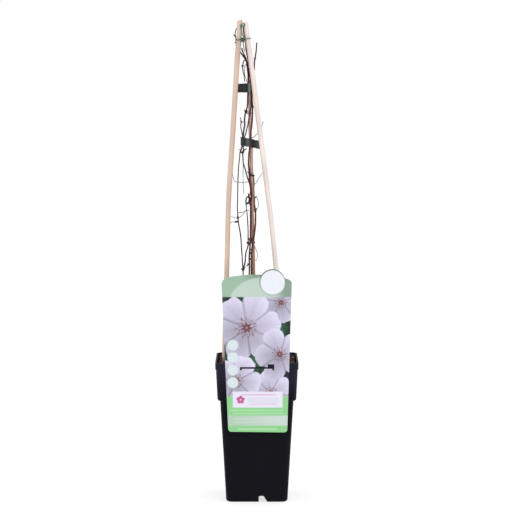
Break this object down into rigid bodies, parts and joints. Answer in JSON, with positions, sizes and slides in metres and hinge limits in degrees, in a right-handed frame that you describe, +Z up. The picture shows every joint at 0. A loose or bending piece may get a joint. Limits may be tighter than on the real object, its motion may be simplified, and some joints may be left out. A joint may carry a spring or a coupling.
{
  "type": "potted climbing plant",
  "caption": "Dormant climbing plant with bare winding stems on a tied cane frame, in a tall square nursery pot with a hooked plant card.",
  "frame": {"origin": "middle of the pot's base, on the surface that it stands on", "axes": "+Z up along the pot, -Y towards the side that the card hangs on, +X to the right as seen from that side"},
  "size_m": [0.1316, 0.1377, 0.7644],
  "materials": {
    "pot_plastic": "moulded black polypropylene, slightly satin",
    "compost": "coarse bark and peat compost",
    "pale_cane": "planed pale softwood cane, bare",
    "brown_cane": "weathered thin bamboo",
    "bark": "thin ridged bark of bare climbing stems",
    "tying_tape": "dark green-black plastic tying tape, slightly glossy",
    "green_wire": "plastic-coated garden wire",
    "printed_card": "printed glossy plastic card"
  },
  "bodies": {
    "root": {"pot": "pot_plastic", "soil": "compost", "cane_left": "pale_cane", "cane_right": "pale_cane", "stake": "brown_cane", "stem_left": "bark", "stem_middle": "bark", "stem_right": "bark", "tape_tie_upper": "tying_tape", "tape_tie_lower": "tying_tape", "twist_tie": "green_wire", "label": "printed_card"}
  },
  "joints": []
}
